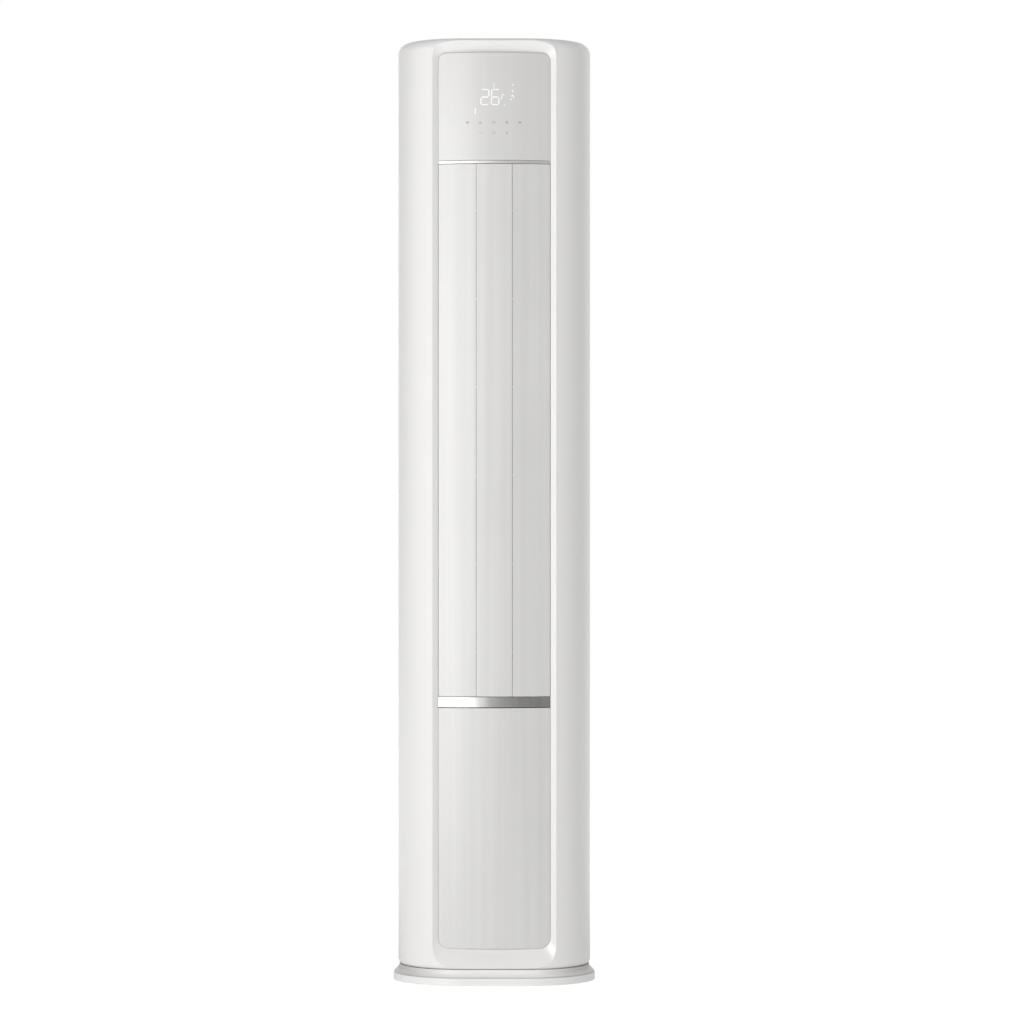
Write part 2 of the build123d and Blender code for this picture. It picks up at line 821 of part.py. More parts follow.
save(slab(coil_plan(0), coil_low + end_plate_t, coil_high), "evaporator_fins")
end_plates = [
    slab(coil_plan(0.5), coil_high, coil_high + end_plate_t),
    slab(coil_plan(0.5), coil_low, coil_low + end_plate_t),
]
save(Compound(children=end_plates), "evaporator_end_plates")


# Hairpin bends above the top end plate, side by side along the rear of the coil.
def make_bends():
    bends = []
    y = coil_back_y - coil_t / 2
    z = coil_high + end_plate_t
    half = bend_span / 2
    for x in (-80, -48, 48, 80):
        loop = Polyline((x - half, y, z), (x - half, y, z + bend_rise),
                        (x + half, y, z + bend_rise), (x + half, y, z))
        start = Plane(origin=loop @ 0, z_dir=(0, 0, 1))
        bends.append(sweep(start * Circle(bend_r), path=loop, transition=Transition.RIGHT))
    return bends


save(Compound(children=make_bends()), "evaporator_bends")


def make_pan():
    x = coil_half + pan_margin
    y0, y1 = coil_front_y - pan_margin, coil_back_y + pan_margin
    pan = fillet(block(-x, x, y0, y1, pan_low, pan_high).edges().filter_by(Axis.Z), 10)
    pan -= block(-x + pan_wall, x - pan_wall, y0 + pan_wall, y1 - pan_wall, pan_low + pan_wall, pan_high + 1)
    for rib_x in (-coil_half + coil_t / 2, -70, 70, coil_half - coil_t / 2):
        y_low = coil_back_y - coil_t if abs(rib_x) < 100 else coil_front_y
        pan += block(rib_x - 1.5, rib_x + 1.5, y_low, coil_back_y, pan_low + pan_wall, coil_low)
    return pan - rod(drain_x, drain_y, pan_low - 1, pan_low + pan_wall + 1, drain_r - 2)


drain_x = pipe_x - 50
drain_y = coil_back_y - 40
drain_z = pipe_z - 32
save(make_pan(), "drain_pan")


# ======== chassis ========
def make_upright(side):
    face = upright_face
    y0, y1 = upright_y - upright_width / 2, upright_y + upright_width / 2
    body = block(face - upright_leg, face, y0, y1, floor_z, upright_high)
    body -= block(face - upright_leg - 1, face - sheet, y0 + sheet, y1 - sheet, floor_z + sheet, upright_high)
    return body if side > 0 else mirror(body, Plane.YZ)


def make_shelf():
    x = upright_face - sheet - fit_gap
    body = block(-x, x, box_front_y, coil_back_y + pan_margin, shelf_high - sheet, shelf_high)
    y0, y1 = upright_y - upright_width / 2, upright_y + upright_width / 2
    legs = block(-x, x, y0 - fit_gap, y0 + sheet + fit_gap, 0, column_high)
    legs += block(-x, x, y1 - sheet - fit_gap, y1 + fit_gap, 0, column_high)
    inner = upright_face - upright_leg - fit_gap
    body -= legs - block(-inner, inner, front_y, rear_y, 0, column_high)
    body &= slab(plan(shell_wall + 2), 0, column_high)
    for px, py, r in ((gas_x, riser_y, gas_r), (liquid_x, riser_y, liquid_r)):
        body -= rod(px, py, 0, column_high, r + 3)
    return body - rod(drain_x, drain_y, 0, column_high, drain_r + 2)


def make_bridge():
    x = upright_face - sheet - fit_gap
    z0, z1 = bridge_low, bridge_low + sheet
    body = block(-x, x, upright_y - upright_width / 2 + sheet + fit_gap,
                 upright_y + upright_width / 2 - sheet - fit_gap, z0, z1)
    body += block(-fan_plate_half, fan_plate_half, -20, coil_back_y - coil_t, z0, z1)
    return body - rod(0, fan_y, z0 - 1, z1 + 1, 16)


gas_x = pipe_x + 62
liquid_x = pipe_x + 22
riser_y = box_front_y + box_depth + 18
save(Compound(children=[make_upright(-1), make_upright(1)]), "chassis_uprights")
save(make_shelf(), "chassis_shelf")
save(make_bridge(), "chassis_bridge")


# ======== pipes, unions and drain ========
def make_riser(x, r):
    union_y = shell_in_y - 12 - 26
    points = [(x, riser_y, low_plate_z - 8), (x, riser_y, pipe_z), (x, union_y, pipe_z)]
    return tube(points, 4 * r, r, r - 1)


def make_union(x, thread_r, pipe_r):
    y0 = shell_in_y - 12 - 26
    body = extrude(
        Plane.XZ.offset(-(y0 + 14)) * Pos(x, pipe_z) * RegularPolygon(thread_r * 1.25, 6), 14
    )
    body += rod_y(x, y0 + 14, y0 + 14 + 22, pipe_z, thread_r)
    return body - rod_y(x, y0 + 1, y0 + 40, pipe_z, pipe_r - 1)


risers = [make_riser(gas_x, gas_r), make_riser(liquid_x, liquid_r)]
save(Compound(children=risers), "refrigerant_pipes")
unions = [make_union(gas_x, gas_thread_r, gas_r), make_union(liquid_x, liquid_thread_r, liquid_r)]
save(Compound(children=unions), "flare_unions")


def make_drain():
    points = [(drain_x, drain_y, pan_low), (drain_x, drain_y, drain_z), (drain_x, rear_y - 6, drain_z)]
    return tube(points, 24, drain_r, drain_r - 2)


save(make_drain(), "drain_spout")


def make_union_plate():
    y0 = shell_in_y - 12 - 26 - 2
    plate_x = (pipe_x - 40, gas_x + 22)
    body = block(plate_x[0], plate_x[1], y0, y0 + 2, floor_z, pipe_z + 24)
    body += block(plate_x[0], plate_x[1], y0 - 30, y0, floor_z, floor_z + 2)
    body -= rod_y(gas_x, y0 - 1, y0 + 3, pipe_z, gas_r + fit_gap)
    return body - rod_y(liquid_x, y0 - 1, y0 + 3, pipe_z, liquid_r + fit_gap)


save(make_union_plate(), "union_plate")


def make_pipe_bush():
    grow = fit_gap
    flange = 4.0
    ring = Pos(pipe_x, 0, pipe_z) * (
        front_block(
            pipe_window_width / 2 - grow, -pipe_window_height / 2 + grow,
            pipe_window_height / 2 - grow, 12 - grow, 12 - grow, rear_y, shell_in_y,
        )
        + front_block(
            pipe_window_width / 2 + flange, -pipe_window_height / 2 - flange,
            pipe_window_height / 2 + flange, 12 + flange, 12 + flange, rear_y + 1.5, rear_y,
        )
    )
    return ring - Pos(pipe_x, 0, pipe_z) * front_block(
        pipe_window_width / 2 - flange, -pipe_window_height / 2 + flange,
        pipe_window_height / 2 - flange, 12 - flange, 12 - flange, rear_y + 2, shell_in_y - 1,
    )


save(make_pipe_bush(), "pipe_window_bush")
gland = rod_y(gland_x, shell_in_y - 4, rear_y + 2, gland_z, gland_r - fit_gap)
gland += rod_y(gland_x, rear_y, rear_y + 4, gland_z, gland_r + 3)
gland -= rod_y(gland_x, shell_in_y - 5, rear_y + 5, gland_z, 4.5)
save(gland, "cable_gland")


# ======== control box ========
def make_control_box():
    z1 = shelf_high - sheet
    x0, x1 = box_x - box_width / 2, box_x + box_width / 2
    y1 = box_front_y + box_depth
    body = block(x0, x1, box_front_y, y1, box_low, z1)
    body -= block(x0 + box_wall, x1 - box_wall, box_front_y - 1, y1 - box_wall, box_low + box_wall,
                  z1 - box_wall)
    for x in (x0 + 16, x1 - 16):
        for z in (box_low + 60, z1 - 20):
            body += rod_y(x, y1 - box_wall - 8, y1 - box_wall, z, 3)
    return body


def make_control_cover():
    x0, x1 = box_x - box_width / 2, box_x + box_width / 2
    cover = block(x0, x1, box_front_y - 1.5, box_front_y, box_low, shelf_high - sheet)
    for i in range(6):
        z = box_low + 90 + 14 * i
        cover -= block(box_x - 40, box_x + 40, box_front_y - 2, box_front_y + 1, z, z + 4)
    return cover


def make_control_board():
    x0, x1 = box_x - box_width / 2, box_x + box_width / 2
    y = box_front_y + box_depth - box_wall - 8
    z0, z1 = box_low + 48, shelf_high - sheet - 8
    board = block(x0 + 6, x1 - 6, y - 1.6, y, z0, z1)
    board += block(x0 + 24, x0 + 56, y - 26, y - 1.6, z0 + 80, z0 + 120)
    board += block(x1 - 50, x1 - 30, y - 18, y - 1.6, z0 + 30, z0 + 60)
    for x in (x1 - 34, x1 - 60):
        board += rod_y(x, y - 30, y - 1.6, z0 + 110, 9)
    return board


def make_terminal_block():
    y1 = box_front_y + box_depth - box_wall
    body = block(box_x - 36, box_x + 36, y1 - 18, y1, box_low + 12, box_low + 36)
    for i in range(5):
        x = box_x - 28 + 14 * i
        body -= block(x - 5, x + 5, y1 - 19, y1 - 10, box_low + 18, box_low + 30)
        body += rod_y(x, y1 - 16, y1 - 9, box_low + 24, 3)
    return body


save(make_control_box(), "control_box")
save(make_control_cover(), "control_box_cover")
save(make_control_board(), "control_board")
save(make_terminal_block(), "terminal_block")


# ======== display board and its carrier ========
def make_carrier():
    z0, z1 = trim_high + ledge_reach, panel_high + 6
    body = block(-panel_half - 6, panel_half + 6, collar_back_y, collar_back_y + 2.5, z0, z1)
    for x in (-60, 60):
        for z in (z0 + 50, z1 - 60):
            body += rod_y(x, collar_back_y - 5, collar_back_y, z, 3.5)
    return body


def make_display_board():
    z0, z1 = trim_high + 30, panel_high - 40
    y = collar_back_y - 5
    board = block(-75, 75, y - 1.6, y, z0, z1)
    digits_z = panel_high - digits_drop
    return board + block(-30, 50, y - 7, y - 1.6, digits_z - digits_half, digits_z + digits_half)


digits_drop = 84.0
digits_half = 24.0
save(make_carrier(), "display_carrier")
save(make_display_board(), "display_board")


# ======== intake cassettes: a louvred grille with its filter behind ========
def cassette_span(upper):
    if upper:
        return window_middle + cassette_gap / 2, window_high - cassette_gap
    return window_low + cassette_gap, window_middle - cassette_gap / 2


def make_grille(upper):
    z0, z1 = cassette_span(upper)
    half = window_half - cassette_gap
    body = block(-half, half, rear_y - grille_t, rear_y, z0, z1)
    slot_rows = int((z1 - z0 - 2 * grille_margin) / slot_pitch)
    margin = (z1 - z0 - slot_rows * slot_pitch) / 2
    for i in range(slot_rows):
        z = z0 + margin + slot_pitch * (i + 0.5) - slot_height / 2
        for x0, x1 in ((-half + 7, -3), (3, half - 7)):
            body -= block(x0, x1, rear_y - grille_t - 1, rear_y + 1, z, z + slot_height)
    grip_z = z1 - margin / 2 if upper else z0 + margin / 2
    grip = Plane.XZ.offset(-(rear_y + 1)) * Pos(0, grip_z) * SlotOverall(56, margin * 0.6)
    return body - extrude(grip, 3)


def make_filter(upper):
    z0, z1 = cassette_span(upper)
    half = window_half - cassette_gap
    back = rear_y - grille_t
    frame = block(-half, half, back - filter_t, back, z0, z1)
    frame -= block(-half + 7, half - 7, back - filter_t - 1, back + 1, z0 + 7, z1 - 7)
    frame += block(-2, 2, back - filter_t, back, z0, z1)
    for i in range(1, 4):
        z = z0 + (z1 - z0) * i / 4
        frame += block(-half, half, back - filter_t, back, z - 2, z + 2)
    return frame + block(-half + 3, half - 3, back - 1.6, back - 1, z0 + 3, z1 - 3)


for upper, name in ((True, "upper"), (False, "lower")):
    save(make_grille(upper), f"intake_grille_{name}")
    save(make_filter(upper), f"air_filter_{name}")


# ======== wall bracket and screws ========
def make_bracket():
    half = 42.0
    t = 1.6
    foot = block(-half, half, rear_y, rear_y + t, bracket_screw_z - 15, bracket_screw_z + 16)
    out_y = rear_y + lip_out
    shelf = block(-half, half, rear_y, out_y, bracket_screw_z + 16 - t, bracket_screw_z + 16)
    tab = block(-half, half, out_y - t, out_y, bracket_screw_z + 16 - t, bracket_screw_z + 50)
    body = foot + shelf + tab
    for x in bracket_screw_x:
        body -= rod_y(x, rear_y - 1, rear_y + t + 1, bracket_screw_z, screw_hole_r)
        body -= rod_y(x, out_y - t - 1, out_y + 1, wall_hole_z, wall_hole_r)
    return body


def screw(x, y, z):
    head = extrude(Plane.XZ.offset(-y) * Pos(x, z) * RegularPolygon(screw_head_r, 6), -screw_head_t)
    return head + rod_y(x, y - screw_length, y, z, screw_r)


screw_head_r = 4.2
screw_head_t = 2.2
screw_length = 10.0
wall_hole_z = bracket_screw_z + 36
wall_hole_r = 3.0
save(make_bracket(), "wall_bracket")
screws = [screw(x, rear_y, z) for x, z in screw_places]
screws += [screw(x, rear_y + 1.6, bracket_screw_z) for x in bracket_screw_x]
save(Compound(children=screws), "case_screws")
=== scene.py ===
import json
import math

import bmesh
import bpy
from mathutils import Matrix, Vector


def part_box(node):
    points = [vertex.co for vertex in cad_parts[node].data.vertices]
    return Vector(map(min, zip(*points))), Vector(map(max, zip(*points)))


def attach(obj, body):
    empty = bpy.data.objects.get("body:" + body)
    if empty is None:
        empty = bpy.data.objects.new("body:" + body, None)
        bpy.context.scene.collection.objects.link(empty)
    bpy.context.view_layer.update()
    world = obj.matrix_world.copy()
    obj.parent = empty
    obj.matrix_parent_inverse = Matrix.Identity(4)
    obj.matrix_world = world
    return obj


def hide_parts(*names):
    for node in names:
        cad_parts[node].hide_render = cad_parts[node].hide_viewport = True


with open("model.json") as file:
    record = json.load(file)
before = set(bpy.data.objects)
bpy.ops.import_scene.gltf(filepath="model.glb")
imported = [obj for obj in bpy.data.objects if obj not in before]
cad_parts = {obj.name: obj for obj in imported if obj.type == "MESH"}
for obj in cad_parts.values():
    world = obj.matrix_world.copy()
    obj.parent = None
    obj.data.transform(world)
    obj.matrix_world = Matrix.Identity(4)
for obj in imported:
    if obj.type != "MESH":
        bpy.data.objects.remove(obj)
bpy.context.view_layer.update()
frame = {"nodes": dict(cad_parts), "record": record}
record = frame["record"]
slotOf = {part["node"]: part["material_slot"] for part in record["subparts"]}
bodyOf = {node: body for body, members in record["behaviour"]["bodies"].items() for node in members}

# metres; Z is up, the floor is z = 0, the front of the cabinet faces -Y
view = {"height": 0.877, "distance": 7.5, "lens": 139.0, "sensor": 36.0, "shift": 0.0173, "clipEnd": 60.0}
keyLamp = {"azimuth": -27.0, "rise": 0.5, "distance": 4.2, "aimHeight": 0.9, "width": 2.1, "height": 2.4,
           "power": 97.0}
room = {
    "base": 0.075, "backdropStart": 0.7,
    # azimuth from the front, rise, where the falloff starts and ends, strength
    "glows": ((-55.0, 0.0, 0.62, 0.90, 0.45), (-8.0, 0.0, 0.90, 0.998, 0.50), (95.0, 0.0, 0.25, 0.90, 0.70),
              (180.0, 0.0, 0.45, 0.90, 0.60), (0.0, 90.0, 0.78, 1.0, 1.1)),
}
ground = {"half": 12.0, "grey": 0.93, "glow": 1.12, "glowShare": 0.88, "behindStart": 0.2, "behindEnd": 1.5,
          "pool": 0.14, "poolStart": 0.3, "poolEnd": 2.2}


def place(obj):
    bpy.context.scene.collection.objects.link(obj)
    return obj


def connect(tree, value, socket):
    if isinstance(value, bpy.types.NodeSocket):
        tree.links.new(value, socket)
    else:
        socket.default_value = value


# a node with its inputs set by their names, where an underscore stands for a space
def newNode(tree, kind, **inputs):
    node = tree.nodes.new(kind)
    for name, value in inputs.items():
        connect(tree, value, node.inputs[name.replace("_", " ")])
    return node


def calc(tree, operation, *values):
    node = tree.nodes.new("ShaderNodeMath")
    node.operation = operation
    for socket, value in zip(node.inputs, values):
        connect(tree, value, socket)
    return node.outputs[0]


def emptyTree(owner):
    owner.use_nodes = True
    owner.node_tree.nodes.clear()
    return owner.node_tree


def putSurface(tree, surface, kind="ShaderNodeOutputMaterial"):
    tree.links.new(surface.outputs[0], tree.nodes.new(kind).inputs["Surface"])


def makeCamera():
    data = bpy.data.cameras.new("camera")
    data.lens, data.sensor_width, data.shift_x = view["lens"], view["sensor"], view["shift"]
    data.clip_end = view["clipEnd"]
    camera = place(bpy.data.objects.new("camera", data))
    camera.location = (0, -view["distance"], view["height"])
    camera.rotation_euler = (math.radians(90), 0, 0)
    bpy.context.scene.camera = camera


def direction(azimuth, rise=0.0):
    turn, rise = math.radians(azimuth), math.radians(rise)
    return Vector((math.sin(turn) * math.cos(rise), -math.cos(turn) * math.cos(rise), math.sin(rise)))


def makeKeyLamp():
    data = bpy.data.lights.new("keyLamp", "AREA")
    data.shape = "RECTANGLE"
    data.size, data.size_y, data.energy = keyLamp["width"], keyLamp["height"], keyLamp["power"]
    lamp = place(bpy.data.objects.new("keyLamp", data))
    aim = direction(keyLamp["azimuth"], keyLamp["rise"])
    lamp.location = Vector((0, 0, keyLamp["aimHeight"])) + aim * keyLamp["distance"]
    lamp.rotation_euler = aim.to_track_quat("Z", "Y").to_euler()


# the rays that see the white backdrop: the camera's, and those that leave metal, gloss and glass
def seeingRays(tree):
    path = tree.nodes.new("ShaderNodeLightPath").outputs
    mirrored = calc(tree, "MAXIMUM", path["Is Glossy Ray"], path["Is Transmission Ray"])
    return path["Is Camera Ray"], mirrored


def facingShare(tree, coordinates, aim, start, end, top):
    facing = tree.nodes.new("ShaderNodeVectorMath")
    facing.operation = "DOT_PRODUCT"
    connect(tree, coordinates, facing.inputs[0])
    connect(tree, aim, facing.inputs[1])
    share = newNode(tree, "ShaderNodeMapRange", Value=facing.outputs["Value"], From_Min=start, From_Max=end,
                    To_Min=0.0, To_Max=top)
    share.interpolation_type = "SMOOTHSTEP"
    return share.outputs["Result"]


# the backdrop behind is white; the room in front is dim, with soft glows at the sides and overhead
def makeWorld():
    world = bpy.data.worlds.new("studio")
    bpy.context.scene.world = world
    tree = emptyTree(world)
    coordinates = tree.nodes.new("ShaderNodeTexCoord").outputs["Generated"]
    level = room["base"]
    for azimuth, rise, start, end, strength in room["glows"]:
        glow = facingShare(tree, coordinates, direction(azimuth, rise), start, end, strength)
        level = calc(tree, "ADD", level, glow)
    camera, mirrored = seeingRays(tree)
    behind = facingShare(tree, coordinates, (0, 1, 0), room["backdropStart"], 1.0, 1.0)
    seen = calc(tree, "MAXIMUM", camera, calc(tree, "MULTIPLY", mirrored, behind))
    background = newNode(tree, "ShaderNodeBackground", Color=(1, 1, 1, 1),
                         Strength=calc(tree, "MAXIMUM", level, seen))
    putSurface(tree, background, "ShaderNodeOutputWorld")


# the floor is white to the camera, pale to the light, and glows a little around the foot
def makeFloor():
    half = ground["half"]
    mesh = bpy.data.meshes.new("floor")
    mesh.from_pydata([(-half, -half, 0), (half, -half, 0), (half, half, 0), (-half, half, 0)], [],
                     [(0, 1, 2, 3)])
    floor = place(bpy.data.objects.new("floor", mesh))
    material = bpy.data.materials.new("paleFloor")
    tree = emptyTree(material)
    grey = ground["grey"]
    plain = newNode(tree, "ShaderNodeBsdfDiffuse", Color=(grey, grey, grey, 1))
    glow = newNode(tree, "ShaderNodeEmission", Color=(1, 1, 1, 1), Strength=ground["glow"])
    camera, mirrored = seeingRays(tree)
    coordinates = tree.nodes.new("ShaderNodeTexCoord").outputs["Object"]
    spot = newNode(tree, "ShaderNodeSeparateXYZ", Vector=coordinates)
    behind = newNode(tree, "ShaderNodeMapRange", Value=spot.outputs["Y"], From_Min=ground["behindStart"],
                     From_Max=ground["behindEnd"])
    seen = calc(tree, "MAXIMUM", camera, calc(tree, "MULTIPLY", mirrored, behind.outputs["Result"]))
    away = tree.nodes.new("ShaderNodeVectorMath")
    away.operation = "LENGTH"
    connect(tree, coordinates, away.inputs[0])
    pool = newNode(tree, "ShaderNodeMapRange", Value=away.outputs["Value"], From_Min=ground["poolStart"],
                   From_Max=ground["poolEnd"], To_Min=ground["pool"], To_Max=0.0)
    unseenPool = calc(tree, "MULTIPLY", pool.outputs["Result"], calc(tree, "SUBTRACT", 1.0, camera))
    share = calc(tree, "MAXIMUM", calc(tree, "MULTIPLY", seen, ground["glowShare"]), unseenPool)
    mix = newNode(tree, "ShaderNodeMixShader", Fac=share)
    tree.links.new(plain.outputs[0], mix.inputs[1])
    tree.links.new(glow.outputs[0], mix.inputs[2])
    putSurface(tree, mix)
    mesh.materials.append(material)


bpy.context.scene.view_settings.view_transform = "Standard"
makeCamera()
makeKeyLamp()
makeWorld()
makeFloor()
print("stage, camera and light are set")

# finishes: three effects that the materials share, then one row of values for each slot
numberSocket, colourSocket, vectorSocket = "NodeSocketFloat", "NodeSocketColor", "NodeSocketVector"
effectRule = {"fine": 0.6, "cloud": 0.4, "cloudScale": 3.0, "roughnessSpread": 0.12, "hollowRoughening": 0.5,
              "coatRoughness": 0.22, "markRoughness": 0.35}


def effectGroup(name, inputs):
    group = bpy.data.node_groups.new(name, "ShaderNodeTree")
    for label, value in inputs.items():
        kind = colourSocket if isinstance(value, tuple) else numberSocket
        group.interface.new_socket(label, in_out="INPUT", socket_type=kind).default_value = value
    for label, kind in (("Color", colourSocket), ("Roughness", numberSocket), ("Normal", vectorSocket)):
        group.interface.new_socket(label, in_out="OUTPUT", socket_type=kind)
    return group, group.nodes.new("NodeGroupInput").outputs, group.nodes.new("NodeGroupOutput").inputs


# every effect ends the same way: its colour times a gain, a roughness, and a height as a bump
def endEffect(group, given, result, gain, roughness, height):
    tint = group.nodes.new("ShaderNodeVectorMath")
    tint.operation = "SCALE"
    connect(group, given["Color"], tint.inputs[0])
    connect(group, gain, tint.inputs["Scale"])
    bump = newNode(group, "ShaderNodeBump", Height=height, Distance=given["Depth"], Strength=1.0)
    connect(group, tint.outputs[0], result["Color"])
    connect(group, roughness, result["Roughness"])
    connect(group, bump.outputs[0], result["Normal"])
    return group


# a colour that wanders a little, a roughness that wanders with it, and a fine raised grain
def makeGrainGroup(name, stretch):
    group, given, result = effectGroup(name, {
        "Color": (0.8, 0.8, 0.8, 1), "Variation": 0.03, "Roughness": 0.4, "Scale": 300.0, "Depth": 0.00002})
    coordinates = group.nodes.new("ShaderNodeTexCoord").outputs["Object"]
    mapping = newNode(group, "ShaderNodeMapping", Vector=coordinates, Scale=stretch)
    grain = newNode(group, "ShaderNodeTexNoise", Vector=mapping.outputs[0], Scale=given["Scale"], Detail=3.0)
    cloud = newNode(group, "ShaderNodeTexNoise", Vector=coordinates, Scale=effectRule["cloudScale"],
                    Detail=2.0)
    blend = calc(group, "ADD", calc(group, "MULTIPLY", grain.outputs["Fac"], effectRule["fine"]),
                 calc(group, "MULTIPLY", cloud.outputs["Fac"], effectRule["cloud"]))
    centred = calc(group, "SUBTRACT", blend, 0.5)
    gain = calc(group, "MULTIPLY_ADD", centred, given["Variation"], 1.0)
    roughness = calc(group, "MULTIPLY_ADD", centred, effectRule["roughnessSpread"], given["Roughness"])
    return endEffect(group, given, result, gain, roughness, grain.outputs["Fac"])


# even rows across one or two axes of the part, as ribs or a net, with painted shade darkening the colour down
# in each groove
def makeRowsGroup(name, axes):
    group, given, result = effectGroup(name, {
        "Color": (0.7, 0.7, 0.7, 1), "Shade": 0.4, "Roughness": 0.4, "Pitch": 0.002, "Depth": 0.0003})
    coordinates = group.nodes.new("ShaderNodeTexCoord").outputs["Object"]
    split = newNode(group, "ShaderNodeSeparateXYZ", Vector=coordinates)
    height = None
    for axis in axes:
        turn = calc(group, "MULTIPLY", calc(group, "DIVIDE", split.outputs[axis], given["Pitch"]), math.pi)
        wave = calc(group, "ABSOLUTE", calc(group, "SINE", turn))
        height = wave if height is None else calc(group, "MULTIPLY", height, wave)
    shade = calc(group, "MULTIPLY", calc(group, "SUBTRACT", 1.0, height), given["Shade"])
    return endEffect(group, given, result, calc(group, "SUBTRACT", 1.0, shade), given["Roughness"], height)


# a grain with painted shade: the colour darkens in a hollow under an overhang, fully above one height, and
# more to the two sides than in the middle
def makePaintedShadeGroup(name):
    group, given, result = effectGroup(name, {
        "Color": (0.8, 0.8, 0.8, 1), "Roughness": 0.4, "Low": 0.012, "High": 0.028, "Middle Shade": 0.05,
        "Side Shade": 0.2, "Side Start": 0.06, "Side End": 0.17, "Scale": 900.0, "Depth": 0.00001})
    coordinates = group.nodes.new("ShaderNodeTexCoord").outputs["Object"]
    split = newNode(group, "ShaderNodeSeparateXYZ", Vector=coordinates)
    raised = newNode(group, "ShaderNodeMapRange", Value=split.outputs["Z"], From_Min=given["Low"],
                     From_Max=given["High"])
    aside = newNode(group, "ShaderNodeMapRange", Value=calc(group, "ABSOLUTE", split.outputs["X"]),
                    From_Min=given["Side Start"], From_Max=given["Side End"], To_Min=given["Middle Shade"],
                    To_Max=given["Side Shade"])
    shade = calc(group, "MULTIPLY", raised.outputs["Result"], aside.outputs["Result"])
    grain = newNode(group, "ShaderNodeTexNoise", Vector=coordinates, Scale=given["Scale"], Detail=3.0)
    roughness = calc(group, "MULTIPLY_ADD", shade, effectRule["hollowRoughening"], given["Roughness"])
    return endEffect(group, given, result, calc(group, "SUBTRACT", 1.0, shade), roughness,
                     grain.outputs["Fac"])


effects = {
    "hollow": makePaintedShadeGroup("paintedHollowShade"),
    "grain": makeGrainGroup("mouldedGrain", (1, 1, 1)),
    "drawn": makeGrainGroup("drawnStreaks", (1, 1, 0.012)),
    "ribs": makeRowsGroup("ribRows", ("Z",)),
    "net": makeRowsGroup("netWeave", ("X", "Z")),
}
ownValues = {
    "hollow": ("Low", "High", "Middle Shade", "Side Shade", "Side Start", "Side End"),
    "grain": ("Variation", "Scale", "Depth"), "drawn": ("Variation", "Scale", "Depth"),
    "ribs": ("Shade", "Pitch", "Depth"), "net": ("Shade", "Pitch", "Depth"),
}
shellTone, panelTone = (0.90, 0.893, 0.880), (0.705, 0.699, 0.688)

# effect, colour, metallic, roughness, coat, then the effect's own values
finishes = {
    "shell_white": ("grain", shellTone, 0, 0.38, 0.5, 0.012, 900.0, 0.000004),
    "shell_matt": ("grain", shellTone, 0, 0.62, 0, 0.012, 900.0, 0.000006),
    "panel_white": ("drawn", panelTone, 0, 0.42, 0.45, 0.30, 60.0, 0.000015),
    "window_gloss": ("drawn", panelTone, 0, 0.40, 0.45, 0.12, 60.0, 0.000003),
    "trim_bright": ("drawn", (0.68, 0.676, 0.668), 0.4, 0.36, 0, 0.1, 260.0, 0.00001),
    "band_chrome": ("drawn", (0.45, 0.448, 0.44), 1, 0.31, 0, 0.55, 160.0, 0.00003),
    "base_plastic": ("grain", shellTone, 0, 0.42, 0.2, 0.02, 900.0, 0.000006),
    # painted shade: the neck darkens towards the column above it, and more at its two ends than in the middle
    "neck_painted_shade": ("hollow", shellTone, 0, 0.42, 0.1, 0.010, 0.024, 0.0, 0.35, 0.08, 0.165),
    "grille_white": ("grain", (0.86, 0.853, 0.842), 0, 0.48, 0, 0.02, 1400.0, 0.00001),
    "filter_net": ("net", (0.24, 0.26, 0.28), 0, 0.7, 0, 0.75, 0.0016, 0.0004),
    "duct_plastic": ("grain", (0.78, 0.78, 0.77), 0, 0.5, 0, 0.03, 700.0, 0.00001),
    "deflector_white": ("grain", (0.84, 0.835, 0.825), 0, 0.42, 0, 0.02, 900.0, 0.000008),
    "fan_plastic": ("grain", (0.09, 0.10, 0.11), 0, 0.5, 0, 0.15, 800.0, 0.00002),
    "acetal_grey": ("grain", (0.70, 0.70, 0.68), 0, 0.4, 0, 0.03, 1200.0, 0.000008),
    "drain_plastic": ("ribs", (0.66, 0.66, 0.65), 0, 0.5, 0, 0.15, 0.004, 0.0004),
    "rubber_black": ("grain", (0.03, 0.03, 0.032), 0, 0.75, 0, 0.25, 1200.0, 0.00003),
    "rubber_grey": ("grain", (0.36, 0.36, 0.35), 0, 0.7, 0, 0.08, 1200.0, 0.00003),
    "motor_steel": ("drawn", (0.56, 0.57, 0.58), 1, 0.36, 0, 0.15, 300.0, 0.00002),
    "shaft_steel": ("drawn", (0.60, 0.60, 0.60), 1, 0.24, 0, 0.1, 600.0, 0.00001),
    "galvanised": ("grain", (0.62, 0.63, 0.64), 1, 0.46, 0, 0.35, 60.0, 0.00001),
    "coil_aluminium": ("grain", (0.72, 0.74, 0.76), 1, 0.36, 0, 0.2, 240.0, 0.00001),
    "copper_tube": ("drawn", (0.78, 0.42, 0.27), 1, 0.3, 0, 0.25, 120.0, 0.00002),
    "brass_union": ("grain", (0.78, 0.60, 0.30), 1, 0.28, 0, 0.12, 500.0, 0.00001),
    "board_green": ("grain", (0.05, 0.20, 0.10), 0, 0.4, 0.3, 0.3, 260.0, 0.00004),
    "terminal_grey": ("grain", (0.50, 0.50, 0.48), 0, 0.5, 0, 0.05, 900.0, 0.00001),
    "screw_zinc": ("grain", (0.68, 0.68, 0.67), 1, 0.34, 0, 0.1, 900.0, 0.00001),
}


